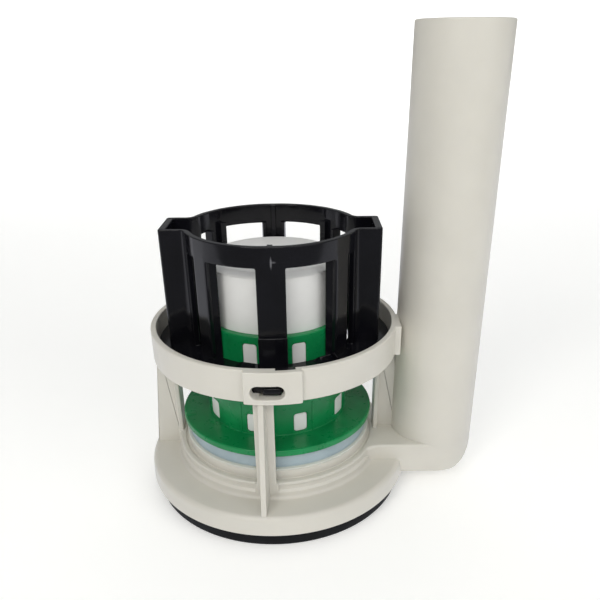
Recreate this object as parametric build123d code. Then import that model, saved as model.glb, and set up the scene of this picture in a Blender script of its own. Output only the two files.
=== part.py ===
from build123d import *
import os
from math import degrees, sqrt

# Toilet flush valve of the canister kind, in millimetres. The outlet's axis is Z, the
# gasket's underside is z = 0 and the overflow tube stands on the +X side.

# Clearances between pieces
snap_gap = 0.1          # sleeves, caps and spigots that stay together
notch_gap = 0.3         # cage's tabs and bumps in the ring's notches and slots
lift_gap = 0.4          # float's lower sleeve, rising between the cage's bars
disc_gap = 1.47         # retainer's disc, rising between the posts

# Modelling allowances
bite = 0.5              # how far two joined shapes reach into each other
overrun = 1.0           # how far a cutter passes the faces that it cuts

# Gasket
outlet_radius = 34.5
gasket_radius = 53.3
gasket_height = 7.84
gasket_round = 1.0

# Skirt and seat tower
wall = 2.4
skirt_radius = 55.7
skirt_lip = 1.34        # skirt's edge, below the gasket's top
skirt_draft = 0.4
skirt_height = 6.96     # above the gasket's top
shoulder = 2.2
rib_count = 12
rib_thickness = 1.8
tower_radius = 42.3
tower_height = 7.0      # above the skirt
foot_step = 0.9
foot_height = 2.8
foot_round = 1.5
rim_overhang = 0.4      # tower's rounded rim, past its wall
rim_width = 2.3
rim_height = 1.6
rim_round = 0.7
groove_depth = 0.5      # between the rim and the sealing edge
lip_radius = 39.3
lip_width = 2.4
lip_height = 3.2        # seat's sealing edge, above the tower

# Float's seal and retainer
seal_lip_radius = 39.5
seal_lip_height = 0.9
seal_radius = 38.0
seal_height = 7.19
seal_hole = 27.6
seal_recess = 2.4
seal_round = 0.5
disc_radius = 40.33
disc_height = 2.71
disc_draft = 0.1
sleeve_radius = 27.9
sleeve_wall = 1.5
sleeve_foot = 1.5       # fillet between the sleeve and the disc
sleeve_round = 1.0
sleeve_top = 47.5
cone_height = 6.0
cone_wall = 1.0
neck_radius = 21.0
neck_wall = 1.1
neck_top = 75.0
low_window_count = 8
low_window_first = 22.5 # angle
low_window_width = 7.2
low_window_height = 8.1
high_window_count = 6
high_window_first = 0.0
high_window_width = 6.6
high_window_height = 15.3
high_window_top = 70.3
window_round = 1.2
mark_angle = -163.5     # raised mark at the disc's edge
mark_length = 4.4
mark_width = 4.0
mark_height = 0.2

# Float's canister, base and cap
canister_wall = 1.4
cap_radius = 22.0
cap_top = 101.26
cap_height = 3.56
cap_plate = 1.8
cap_round = 0.5
bead_height = 0.5
bead_length = 1.2
base_radius = 33.0
base_plate = 1.8
base_recess = 0.5
spigot_height = 6.0

# Posts and lock ring
post_angles = (0, 180, -94, 86)
post_width = 7.7
post_depth = 2.0
fin_thickness = 2.2
fin_foot_radius = 54.2
ring_radius = 49.83
ring_wall = 2.24
ring_low = 61.66
ring_high = 74.17
ring_round = 0.4
shelf_height = 2.34
lock_turns = (0, 180)
pad_angle = -88.6
pad_span = 23.5
pad_depth = 1.67
slot_angle = -90.8
slot_length = 12.3
slot_height = 5.2
slot_middle = 2.2       # above the cage's flange seat
bump_angle = -88.9
bump_width = 6.6
bump_height = 2.8
tab_angle = -83.3
tab_width = 7.0
tab_height = 6.0
tab_reach = 1.8         # past the cage's flange

# Guide cage
flange_gap = 0.4
flange_bore = 30.2
flange_height = 3.0
cage_radius = 33.84
cage_wall = 2.24
cage_top = 112.68
cage_band = 7.6
bar_turns = (0, 180)
bars = ((-88.5, 17.8), (-138.5, 13.0), (-38.5, 13.0))     # middle angle, span
bar_edge = 1.6
bar_rib = 2.2
bar_rib_depth = 1.7
step_depth = 1.0
step_height = 12.4      # above the flange
wing_reach = 41.88
wing_half = 9.88
wing_side = 1.6
wing_end = 2.7
wing_fillet = 3.0       # in plan, where a wing meets the cage's ring
wing_wall_span = 53.0   # round wall on both sides of a wing

# Overflow tube and duct
tube_stand = 17.91      # tube's axis, outside the lock ring
tube_top = 181.17
tube_radius = 16.92     # at the mouth
tube_foot_radius = 17.55
bore_radius = 14.9
bore_foot_radius = 14.5
mouth_length = 20.0
elbow_round = 13.0
duct_fillet = 8.0
bridge_front = 12.6     # lug that joins the ring to the tube, in front of the tube's axis
bridge_back = 1.0
bridge_face = 0.4       # lug's face, past the tube's nearest line

# Heights and radii that follow from them
skirt_inner = gasket_radius + 2 * snap_gap
skirt_low = gasket_height - skirt_lip
skirt_top = gasket_height + skirt_height
tower_top = skirt_top + tower_height
rim_radius = tower_radius + rim_overhang
rim_inner = rim_radius - rim_width
seat_top = tower_top + lip_height
seal_top = seat_top + seal_height
disc_top = seal_top + disc_height
post_radius = disc_radius + disc_gap
shelf_top = ring_low + shelf_height
flange_radius = ring_radius - ring_wall - flange_gap
flange_top = shelf_top + flange_height
tube_x = ring_radius + tube_stand
bar_radius = sleeve_radius + lift_gap
canister_radius = neck_radius - neck_wall - snap_gap
canister_foot = sleeve_radius - sleeve_wall - snap_gap
canister_top = cap_top - cap_plate


def turned(outline, rounds=()):
    # Solid of revolution about Z, from an outline in radius and height. Each round is
    # a corner of that outline with its fillet radius.
    face = make_face(Polyline(*outline, close=True))
    for corner, radius in rounds:
        nearest = face.vertices().sort_by_distance(Vector(corner[0], corner[1], 0))[0]
        face = fillet(nearest, radius)
    return revolve(Plane.XZ * face, Axis.Z)


def washer(inner, outer, low, high):
    return turned([(inner, low), (outer, low), (outer, high), (inner, high)])


def arc_block(inner, outer, low, high, middle, span):
    # Part of a washer, centred on an angle in degrees.
    size = Rectangle(outer - inner, high - low)
    face = Plane.XZ * Pos((inner + outer) / 2, (low + high) / 2) * size
    return Rot(0, 0, middle - span / 2) * revolve(face, Axis.Z, span)


def span_of(width, radius):
    return degrees(width / radius)


def radial_slot(outline, inner, outer, height, angle):
    # Cutter along a radius, with its outline's middle at the given height.
    sheet = Plane(origin=(inner, 0, height), x_dir=(0, 1, 0), z_dir=(1, 0, 0)) * outline
    return Rot(0, 0, angle) * extrude(sheet, outer - inner)


def elbow(half_width, start, low, high, corner):
    # Duct with a round end about the tube's axis and a rounded lower corner.
    plan = Pos((start + tube_x) / 2, 0) * Rectangle(tube_x - start, 2 * half_width)
    plan += Pos(tube_x, 0) * Circle(half_width)
    block = extrude(Pos(0, 0, low) * plan, high - low)
    end = tube_x + half_width
    side = make_face(Polyline((start, low), (end, low), (end, high), (start, high), close=True))
    lower_corner = side.vertices().sort_by_distance(Vector(end, low, 0))[0]
    side = fillet(lower_corner, min(corner, high - low - bite))
    return block & extrude(Plane.XZ * side, half_width + overrun, both=True)


def skirt_and_tower():
    foot = tower_radius + foot_step
    foot_top = skirt_top + foot_height
    brow = skirt_radius - skirt_draft
    rim_low = tower_top - rim_height
    lip_inner = lip_radius - lip_width
    outline = [
        (outlet_radius, gasket_height), (skirt_inner, gasket_height), (skirt_inner, skirt_low),
        (skirt_radius, skirt_low), (brow, skirt_top), (foot, skirt_top), (foot, foot_top),
        (tower_radius, foot_top + foot_step), (tower_radius, rim_low), (rim_radius, rim_low),
        (rim_radius, tower_top), (rim_inner, tower_top), (lip_radius, tower_top),
        (lip_radius, seat_top), (lip_inner, seat_top), (outlet_radius, tower_top),
    ]
    rounds = [((brow, skirt_top), shoulder), ((foot, skirt_top), foot_round),
              ((rim_radius, tower_top), rim_round)]
    return turned(outline, rounds)


def underside_coring():
    # Open cells under the skirt and the tower, left between radial ribs.
    inner = washer(outlet_radius + wall, tower_radius - wall, gasket_height, tower_top - wall)
    outer = washer(tower_radius + foot_step, skirt_inner, gasket_height, skirt_top - wall)
    cells = inner + outer
    for turn in range(rib_count):
        rib = Pos(skirt_radius / 2, 0, tower_top / 2) * Box(skirt_radius, rib_thickness, tower_top)
        cells -= Rot(0, 0, (turn + 0.5) * 360 / rib_count) * rib
    return cells


def corner_blends(wall_radius, half_width, radius, low, high):
    # Pair of concave corners, in plan, where a block along X leaves a round wall about Z.
    reach = wall_radius + radius
    drop = half_width + radius
    along = sqrt(reach * reach - drop * drop)
    on_wall = (along * wall_radius / reach, -drop * wall_radius / reach)
    inside = (on_wall[0] - bite, bite - half_width)
    corner = make_face(Polyline((along, -half_width), on_wall, inside, (along, inside[1]), close=True))
    corner -= Pos(along, -drop) * Circle(radius)
    blend = extrude(Pos(0, 0, low) * corner, high - low)
    return blend + mirror(blend, Plane.XZ)


def overflow():
    # Duct from the tower to the tube's foot, and the tall drafted tube.
    duct = elbow(tube_foot_radius, tower_radius - 2 * wall, gasket_height, tower_top, elbow_round)
    height = tube_top - tower_top
    tube = Pos(tube_x, 0, tower_top + height / 2) * Cone(tube_foot_radius, tube_radius, height)
    low = skirt_top - bite
    return duct + tube + corner_blends(tower_radius, tube_foot_radius, duct_fillet, low, tower_top)


def overflow_passage():
    # Water's way from the tube's mouth down to the outlet, below the seat.
    floor = gasket_height + wall
    start = outlet_radius - wall
    duct = elbow(bore_foot_radius, start, floor, tower_top - wall, elbow_round - wall)
    foot = elbow(bore_foot_radius, tube_x, floor, tower_top, elbow_round - wall)
    taper_length = tube_top - mouth_length - tower_top
    taper = Pos(tube_x, 0, tower_top + taper_length / 2) * Cone(bore_foot_radius, bore_radius, taper_length)
    mouth = Pos(tube_x, 0, tube_top - mouth_length / 2) * Cylinder(bore_radius, mouth_length)
    return duct + foot + taper + mouth


def post(angle):
    # Upright with an inner band along the float's way and a radial fin outside it.
    outer = post_radius + post_depth
    foot = skirt_top + foot_height - bite
    band = arc_block(post_radius, outer, foot, shelf_top, 0, span_of(post_width, outer))
    low = skirt_top - wall / 2
    high = ring_low + bite
    inner = outer - bite
    profile = [(inner, low), (fin_foot_radius, low), (ring_radius - ring_round, high), (inner, high)]
    sheet = Plane.XZ * make_face(Polyline(*profile, close=True))
    fin = extrude(sheet, fin_thickness / 2, both=True)
    return Rot(0, 0, angle) * (band + fin)


def lock_ring():
    # Ring on the posts that carries the guide cage on its shelf, with the two locks.
    inner = ring_radius - ring_wall
    pad_radius = ring_radius + pad_depth
    outline = [(inner, ring_low), (ring_radius, ring_low), (ring_radius, ring_high), (inner, ring_high)]
    ring = turned(outline, [((ring_radius, ring_high), ring_round)])
    ring += washer(post_radius, inner + bite, ring_low, shelf_top)
    bridge_end = tube_x - tube_foot_radius + bridge_face
    bridge = Pos(bridge_end / 2, (bridge_back - bridge_front) / 2, (ring_low + ring_high) / 2)
    bridge *= Box(bridge_end, bridge_front + bridge_back, ring_high - ring_low)
    ring += bridge - Pos(0, 0, ring_low) * Cylinder(inner + bite, 2 * ring_high)
    for turn in lock_turns:
        ring += arc_block(inner + bite, pad_radius, ring_low, ring_high, pad_angle + turn, pad_span)
    outline = SlotOverall(slot_length, slot_height)
    notch_span = span_of(tab_width + 2 * notch_gap, inner)
    notch_radius = flange_radius + tab_reach + notch_gap
    for turn in lock_turns:
        middle = shelf_top + slot_middle
        ring -= radial_slot(outline, inner - bite, pad_radius + overrun, middle, slot_angle + turn)
        high = ring_high + overrun
        ring -= arc_block(inner - bite, notch_radius, flange_top, high, tab_angle + turn, notch_span)
    return ring


def valve_body():
    body = skirt_and_tower()
    body -= underside_coring()
    body += overflow()
    body -= washer(lip_radius, rim_inner, tower_top - groove_depth, tower_top + overrun)
    for angle in post_angles:
        body += post(angle)
    body += lock_ring()
    body -= overflow_passage()
    # the gasket's seat stays clear under the duct
    body -= washer(outlet_radius - wall, skirt_inner, skirt_low - overrun, gasket_height)
    return body


def base_gasket():
    outline = [(outlet_radius, 0), (gasket_radius, 0), (gasket_radius, gasket_height),
               (outlet_radius, gasket_height)]
    rounds = [((gasket_radius, 0), gasket_round), ((gasket_radius, gasket_height), gasket_round / 2)]
    return turned(outline, rounds)


def cage_bar(middle, span):
    # Channel section, open to the inside, with a small rib down its middle.
    band_low = cage_top - cage_band
    inner = cage_radius - cage_wall
    bar = arc_block(inner, cage_radius, shelf_top, cage_top, middle, span)
    edge = span_of(bar_edge, inner)
    for side in (-1, 1):
        at = middle + side * (span - edge) / 2
        bar += arc_block(bar_radius, inner + bite, shelf_top, band_low, at, edge)
    rib = span_of(bar_rib, inner)
    return bar + arc_block(inner - bar_rib_depth, inner + bite, shelf_top, cage_top, middle, rib)


def cage_lock():
    # Stepped foot of the front bar, the tab in the ring's notch and the snap bump.
    front, span = bars[0]
    step_top = flange_top + step_height
    foot = arc_block(cage_radius - cage_wall, cage_radius + step_depth, shelf_top, step_top, front, span)
    tab_span = span_of(tab_width, ring_radius - ring_wall)
    tab = arc_block(flange_radius - wall, flange_radius + tab_reach, shelf_top + flange_height / 2,
                    flange_top + tab_height, tab_angle, tab_span)
    tab -= washer(flange_radius, flange_radius + 2 * tab_reach, shelf_top - overrun, flange_top + notch_gap)
    bump = arc_block(flange_radius - wall, flange_radius + tab_reach, shelf_top, shelf_top + bump_height,
                     bump_angle, span_of(bump_width, ring_radius))
    return foot + tab + bump


def cage_wing():
    # Square channel outside the ring, open at its top and to the inside.
    height = cage_top - shelf_top
    middle = shelf_top + height / 2
    box = Pos(wing_reach / 2, 0, middle) * Box(wing_reach, 2 * wing_half, height)
    corners = box.edges().filter_by(Axis.Z).group_by(Axis.X)[-1]
    box = fillet(corners, wing_side)
    box += corner_blends(cage_radius, wing_half, wing_fillet, shelf_top, cage_top)
    box += arc_block(cage_radius - cage_wall, cage_radius, shelf_top, cage_top, 0, wing_wall_span)
    return box - Pos(0, 0, middle) * Cylinder(cage_radius - cage_wall, height + overrun)


def wing_hollow():
    length = wing_reach - wing_end - bar_radius
    height = cage_top - flange_top + overrun
    box = Pos(bar_radius + length / 2, 0, flange_top + height / 2)
    return box * Box(length, 2 * (wing_half - wing_side), height)


def guide_cage():
    cage = washer(flange_bore, flange_radius, shelf_top, flange_top)
    cage += washer(cage_radius - cage_wall, cage_radius, cage_top - cage_band, cage_top)
    for turn in bar_turns:
        for middle, span in bars:
            cage += cage_bar(middle + turn, span)
        cage += Rot(0, 0, turn) * cage_lock()
        cage += Rot(0, 0, turn) * cage_wing()
        cage -= Rot(0, 0, turn) * wing_hollow()
    return cage - Pos(0, 0, shelf_top) * Cylinder(flange_bore, 2 * flange_height)


def seat_seal():
    # Soft ring with a thin lip that lies on the seat's edge.
    lip_top = seat_top + seal_lip_height
    recess = seat_top + seal_recess
    edge = base_radius + 2 * snap_gap
    outline = [
        (seal_hole, recess), (edge, recess), (edge + seal_recess / 2, seat_top),
        (seal_lip_radius, seat_top), (seal_lip_radius, lip_top),
        (seal_radius, lip_top + seal_lip_height / 3), (seal_radius, seal_top), (seal_hole, seal_top),
    ]
    return turned(outline, [((seal_radius, seal_top), seal_round)])


def retainer_shell():
    # Disc on the seal, wide sleeve, cone and narrow neck, as one thin moulding.
    neck_low = sleeve_top + cone_height
    outline = [
        (sleeve_radius - sleeve_wall, seal_top), (disc_radius, seal_top),
        (disc_radius - disc_draft, disc_top), (sleeve_radius, disc_top), (sleeve_radius, sleeve_top),
        (neck_radius, neck_low),
        (neck_radius, neck_top), (neck_radius - neck_wall, neck_top),
        (neck_radius - neck_wall, neck_low - cone_wall),
        (sleeve_radius - sleeve_wall, sleeve_top - cone_wall),
    ]
    rounds = [((sleeve_radius, disc_top), sleeve_foot), ((sleeve_radius, sleeve_top), sleeve_round)]
    return turned(outline, rounds)


def seal_retainer():
    shell = retainer_shell()
    outline = RectangleRounded(low_window_width, low_window_height, window_round)
    middle = disc_top + low_window_height / 2
    outside = sleeve_radius + sleeve_foot + overrun
    for turn in range(low_window_count):
        angle = low_window_first + turn * 360 / low_window_count
        shell -= radial_slot(outline, canister_radius, outside, middle, angle)
    outline = RectangleRounded(high_window_width, high_window_height, window_round)
    middle = high_window_top - high_window_height / 2
    for turn in range(high_window_count):
        angle = high_window_first + turn * 360 / high_window_count
        shell -= radial_slot(outline, canister_radius / 2, neck_radius + overrun, middle, angle)
    mark_middle = disc_radius - bite - mark_length / 2
    mark = Pos(mark_middle, 0, disc_top) * Box(mark_length, mark_width, 2 * mark_height)
    return shell + Rot(0, 0, mark_angle) * mark


def float_canister():
    # Stepped hollow bottle, open at both ends until its base and cap are on.
    neck_low = sleeve_top + cone_height - cone_wall
    low = seal_top
    bore = canister_radius - canister_wall
    foot_bore = canister_foot - canister_wall
    bead = neck_top + snap_gap
    outline = [
        (foot_bore, low), (canister_foot, low), (canister_foot, sleeve_top - cone_wall - snap_gap),
        (canister_radius, neck_low - snap_gap), (canister_radius, bead),
        (canister_radius + bead_height, bead), (canister_radius, bead + bead_length),
        (canister_radius, canister_top), (bore, canister_top), (bore, neck_low - canister_wall),
        (foot_bore, sleeve_top - cone_wall - canister_wall),
    ]
    return turned(outline)


def float_cap():
    # Lid that wraps the canister's rim.
    low = cap_top - cap_height
    inner = canister_radius + snap_gap
    outline = [
        (0, canister_top), (inner, canister_top), (inner, low), (cap_radius, low),
        (cap_radius, cap_top), (0, cap_top),
    ]
    return turned(outline, [((cap_radius, cap_top), cap_round)])


def float_base():
    # Plate under the seal, hub through it and spigot up into the canister.
    low = seat_top + base_recess
    spigot = canister_foot - canister_wall - snap_gap
    hub = seal_hole - snap_gap
    inner = spigot - canister_wall
    outline = [
        (0, low), (base_radius, low), (base_radius, low + base_plate), (hub, low + base_plate),
        (hub, seal_top), (spigot, seal_top), (spigot, seal_top + spigot_height),
        (inner, seal_top + spigot_height), (inner, low + base_plate), (0, low + base_plate),
    ]
    return turned(outline)


nodes = {
    "valve_body": valve_body,
    "base_gasket": base_gasket,
    "guide_cage": guide_cage,
    "seat_seal": seat_seal,
    "seal_retainer": seal_retainer,
    "float_canister": float_canister,
    "float_cap": float_cap,
    "float_base": float_base,
}

os.makedirs("parts", exist_ok=True)
for name, make in nodes.items():
    export_step(make(), "parts/" + name + ".step")
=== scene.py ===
import math

import bpy
import numpy as np
from mathutils import Matrix, Vector


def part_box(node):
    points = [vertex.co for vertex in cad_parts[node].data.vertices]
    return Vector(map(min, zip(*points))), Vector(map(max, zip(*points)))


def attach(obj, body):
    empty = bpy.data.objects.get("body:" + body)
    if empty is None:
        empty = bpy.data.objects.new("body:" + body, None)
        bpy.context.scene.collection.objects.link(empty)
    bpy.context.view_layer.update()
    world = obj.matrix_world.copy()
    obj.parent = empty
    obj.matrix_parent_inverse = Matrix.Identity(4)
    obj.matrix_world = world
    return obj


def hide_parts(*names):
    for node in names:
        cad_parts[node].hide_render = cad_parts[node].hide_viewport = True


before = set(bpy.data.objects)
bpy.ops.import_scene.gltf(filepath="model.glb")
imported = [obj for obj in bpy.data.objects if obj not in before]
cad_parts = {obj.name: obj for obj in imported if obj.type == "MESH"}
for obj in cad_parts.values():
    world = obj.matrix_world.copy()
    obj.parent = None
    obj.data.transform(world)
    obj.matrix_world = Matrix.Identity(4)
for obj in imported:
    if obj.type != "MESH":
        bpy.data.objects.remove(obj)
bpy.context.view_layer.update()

# Sizes are in millimetres, in the object's own frame: the outlet's axis is Z, the gasket's
# underside is z = 0 and the overflow tube stands at +X.
mm = 0.001
around = 192        # faces round a full turn
hair = 0.02         # gap or overlap that keeps two faces out of one plane
pole = 0.01         # least radius of a turned outline, at its axis
sharpCorner = 40    # degrees past which an edge is shaded as a corner


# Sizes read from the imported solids

def lowest(node, axis):
    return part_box(node)[0][axis] / mm


def highest(node, axis):
    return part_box(node)[1][axis] / mm


gasketTop = highest("base_gasket", 2)
gasketRadius = highest("base_gasket", 0)
seatTop = lowest("seat_seal", 2)
sealTop = highest("seat_seal", 2)
sealLip = highest("seat_seal", 0)
discRadius = highest("seal_retainer", 0)
baseRadius = highest("float_base", 0)
cageLow = lowest("guide_cage", 2)
cageTop = highest("guide_cage", 2)
skirtRadius = -lowest("valve_body", 0)
tubeTop = highest("valve_body", 2)


# Shapes as arrays

def arc(centre, radius, start, end, steps):
    # points on a circle: centre + radius * (cos t, sin t), t in degrees
    t = np.radians(np.linspace(start, end, steps))
    return np.array(centre) + radius * np.stack([np.cos(t), np.sin(t)], 1)


def roundedOutline(corners, closed=True, steps=5):
    # Corners are (x, y, radius). Each is cut by an arc whose ends lie radius / tan(half the
    # corner's angle) along its two sides, at centre + radius * (cos t, sin t).
    points = []
    count = len(corners)
    for i, (x, y, radius) in enumerate(corners):
        here = np.array([x, y], float)
        if radius <= 0 or (not closed and i in (0, count - 1)):
            points.append(here[None, :])
            continue
        back = np.array(corners[i - 1][:2], float) - here
        on = np.array(corners[(i + 1) % count][:2], float) - here
        back /= np.linalg.norm(back)
        on /= np.linalg.norm(on)
        half = math.acos(np.clip(back @ on, -1, 1)) / 2
        reach = radius / math.tan(half)
        middle = (back + on) / np.linalg.norm(back + on)
        centre = here + middle * radius / math.sin(half)
        a, b = here + back * reach - centre, here + on * reach - centre
        t = np.linspace(0, 1, steps)[:, None]
        turn = math.acos(np.clip(a @ b / radius ** 2, -1, 1))
        slerp = (np.sin((1 - t) * turn) * a + np.sin(t * turn) * b) / math.sin(turn)
        points.append(centre + slerp)
    return np.concatenate(points)


def gridFaces(rows, columns, wrapRows=False, wrapColumns=False):
    # quads (i, j) (i, j+1) (i+1, j+1) (i+1, j) of a grid stored row by row
    i = np.arange(rows if wrapRows else rows - 1)
    j = np.arange(columns if wrapColumns else columns - 1)
    i, j = np.meshgrid(i, j, indexing="ij")
    p, q = (i + 1) % rows, (j + 1) % columns
    quads = np.stack([i * columns + j, i * columns + q, p * columns + q, p * columns + j], -1)
    return quads.reshape(-1, 4).tolist()


def cappedFaces(rows, count):
    # side quads of closed loops stacked one above another, and a face over each end
    faces = gridFaces(rows, count, wrapColumns=True)
    faces.append(list(range(count))[::-1])
    faces.append(list(range((rows - 1) * count, rows * count)))
    return faces


def roundIn(height, radius):
    # how far a rounded edge stands back at a height above its end:
    # r - sqrt(r^2 - (r - h)^2) up to h = r, then nothing
    return radius - np.sqrt(np.maximum(radius ** 2 - np.maximum(radius - height, 0) ** 2, 0))


def lathe(outline, centre=(0, 0), turns=around, start=0.0, end=360.0):
    # closed outline of (radius, z) turned about a vertical axis:
    # (cx + r cos t, cy + r sin t, z)
    full = abs(end - start - 360) < 1e-6
    t = np.radians(np.linspace(start, end, turns, endpoint=not full))
    r, z = outline[:, 0], outline[:, 1]
    x = centre[0] + np.outer(np.cos(t), r)
    y = centre[1] + np.outer(np.sin(t), r)
    points = np.stack([x, y, np.tile(z, (len(t), 1))], -1).reshape(-1, 3)
    faces = gridFaces(len(t), len(r), True, True) if full else cappedFaces(len(t), len(r))
    return points, faces


def loopNormals(loop):
    # outward unit normals of a closed plan outline that runs anticlockwise
    along = np.roll(loop, -1, 0) - np.roll(loop, 1, 0)
    normal = np.stack([along[:, 1], -along[:, 0]], 1)
    return normal / np.maximum(np.linalg.norm(normal, axis=1), 1e-9)[:, None]


def loopArea(loop):
    # signed area: sum of (x y' - x' y) / 2
    on = np.roll(loop, -1, 0)
    return (loop[:, 0] * on[:, 1] - on[:, 0] * loop[:, 1]).sum() / 2


def prism(loop, low, high, edge, steps=4):
    # plan outline raised from low to high: P - n * inset at height z, where inset and z
    # follow a quarter circle of radius edge at each end
    t = np.radians(np.linspace(0, 90, steps))
    inset = np.concatenate([edge * (1 - np.sin(t)), edge * (1 - np.sin(t[::-1]))])
    z = np.concatenate([low + edge * (1 - np.cos(t)), high - edge * (1 - np.cos(t[::-1]))])
    normal = loopNormals(loop)
    plan = loop[None] - normal[None] * inset[:, None, None]
    height = np.broadcast_to(z[:, None, None], plan.shape[:2] + (1,))
    points = np.concatenate([plan, height], 2).reshape(-1, 3)
    return points, cappedFaces(len(z), len(loop))


def arcLoop(inner, outer, middle, span, corner, steps=12):
    # plan outline of a block bent round Z: out along one side, back along the other, with
    # the four corners rounded
    half = np.radians(span) / 2
    mid = np.radians(middle)
    a = half - corner / outer
    b = half - corner / inner
    parts = []
    for radius, sign, reach in ((outer, 1, a), (inner, -1, b)):
        t = mid + sign * np.linspace(-reach, reach, steps)
        parts.append(radius * np.stack([np.cos(t), np.sin(t)], 1))
    outerArc, innerArc = parts

    def turnCorner(p, q, radial):
        # quarter turn from p to q: p + (q - p) split along the radius and across it
        r0, t0 = np.hypot(*p), math.atan2(p[1], p[0])
        r1, t1 = np.hypot(*q), math.atan2(q[1], q[0])
        s = np.radians(np.linspace(0, 90, 5))[1:-1]
        if radial:
            r, t = r0 + (r1 - r0) * (1 - np.cos(s)), t0 + (t1 - t0) * np.sin(s)
        else:
            r, t = r0 + (r1 - r0) * np.sin(s), t0 + (t1 - t0) * (1 - np.cos(s))
        return np.stack([r * np.cos(t), r * np.sin(t)], 1)

    def sidePoint(radius, sign):
        t = mid + sign * half
        return radius * np.array([np.cos(t), np.sin(t)])

    p1, p2 = sidePoint(outer - corner, 1), sidePoint(inner + corner, 1)
    p3, p4 = sidePoint(inner + corner, -1), sidePoint(outer - corner, -1)
    return np.concatenate([
        outerArc, turnCorner(outerArc[-1], p1, True), [p1, p2], turnCorner(p2, innerArc[0], False),
        innerArc, turnCorner(innerArc[-1], p3, True), [p3, p4], turnCorner(p4, outerArc[0], False),
    ])


def rotated(shape, angle):
    # points turned about Z by an angle in degrees
    points, faces = shape
    c, s = math.cos(math.radians(angle)), math.sin(math.radians(angle))
    turn = np.array([[c, s, 0], [-s, c, 0], [0, 0, 1]])
    return points @ turn, faces


def uprightPlate(loop, thickness, edge, angle):
    # outline in (radius, z) given a thickness across the radius, then turned to its angle:
    # the prism's own x, y, z become radius, -across, z
    points, faces = prism(loop, -thickness / 2, thickness / 2, edge)
    points = np.stack([points[:, 0], -points[:, 2], points[:, 1]], 1)
    return rotated((points, faces), angle)


def joined(shapes):
    # several closed shapes as one list of points and faces
    points, faces, start = [], [], 0
    for somePoints, someFaces in shapes:
        points.append(somePoints)
        faces += [[i + start for i in face] for face in someFaces]
        start += len(somePoints)
    return np.concatenate(points), faces


def welded(points, faces, size=1e-3):
    # Points in one cell of this size become the first of them, and a corner that equals the
    # next one leaves its face. Also gives which points were kept.
    keys = np.round(points / size).astype(np.int64)
    _, first, inverse = np.unique(keys, axis=0, return_index=True, return_inverse=True)
    corners = inverse.reshape(-1)[np.array(faces)]
    differs = corners != np.roll(corners, -1, axis=1)
    faces = [face[keep].tolist() for face, keep in zip(corners, differs) if keep.sum() > 2]
    return points[first], faces, first


def sheetWithHoles(columns, rows, holes):
    # Flat sheet on (u, v). Each hole is a rounded rectangle inside a whole block of cells:
    # rings run from the hole's edge to the block's border, (1 - t) * hole + t * border.
    columns, rows = np.asarray(columns, float), np.asarray(rows, float)
    u, v = np.meshgrid(columns, rows)
    points = [np.stack([u.ravel(), v.ravel()], 1)]
    keep = np.ones((len(rows) - 1, len(columns) - 1), bool)
    faces = []
    start = u.size
    for hole in holes:
        c0, c1 = [int(np.argmin(abs(columns - x))) for x in hole["columns"]]
        r0, r1 = [int(np.argmin(abs(rows - x))) for x in hole["rows"]]
        keep[r0:r1, c0:c1] = False
        low = [(columns[i], rows[r0]) for i in range(c0, c1)]
        right = [(columns[c1], rows[i]) for i in range(r0, r1)]
        high = [(columns[i], rows[r1]) for i in range(c1, c0, -1)]
        left = [(columns[c0], rows[i]) for i in range(r1, r0, -1)]
        border = np.array(low + right + high + left)
        inner = holeLoop(hole, [len(low), len(right), len(high), len(left)])
        rings = hole.get("rings", 4)
        t = np.linspace(0, 1, rings)[:, None, None]
        block = (inner[None] * (1 - t) + border[None] * t).reshape(-1, 2)
        points.append(block)
        faces += (start + np.array(gridFaces(rings, len(border), wrapColumns=True))[:, ::-1]).tolist()
        start += len(block)
    i, j = np.nonzero(keep)
    a = i * len(columns) + j
    faces += np.stack([a, a + 1, a + 1 + len(columns), a + len(columns)], 1).tolist()
    return np.concatenate(points), faces


def holeLoop(hole, counts, bend=4):
    # Rounded rectangle from its lower left corner round, in four runs of the given counts:
    # each run is half a corner's arc of bend points, the straight side and half the next arc.
    # "stretch" is how many units of u one unit of v is worth, so that corners come out round.
    w, h, r = hole["width"] / 2, hole["height"] / 2, hole["round"]
    corners = [(-w + r, -h + r, 225), (w - r, -h + r, 315), (w - r, h - r, 45), (-w + r, h - r, 135)]
    runs = []
    for i, count in enumerate(counts):
        x0, y0, angle = corners[i]
        x1, y1, _ = corners[(i + 1) % 4]
        first = arc((x0, y0), r, angle, angle + 45, bend)
        last = arc((x1, y1), r, angle + 45, angle + 90, bend)
        straight = max(count + 1 - 2 * bend, 0)
        t = np.linspace(0, 1, straight + 2)[1:-1, None]
        middle = first[-1] * (1 - t) + last[0] * t
        run = np.concatenate([first, middle, last])
        pick = np.round(np.linspace(0, len(run) - 1, count + 1)).astype(int)
        runs.append(run[pick][:-1])
    loop = np.concatenate(runs)
    loop[:, 0] *= hole.get("stretch", 1.0)
    return loop + np.array(hole["middle"])


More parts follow.
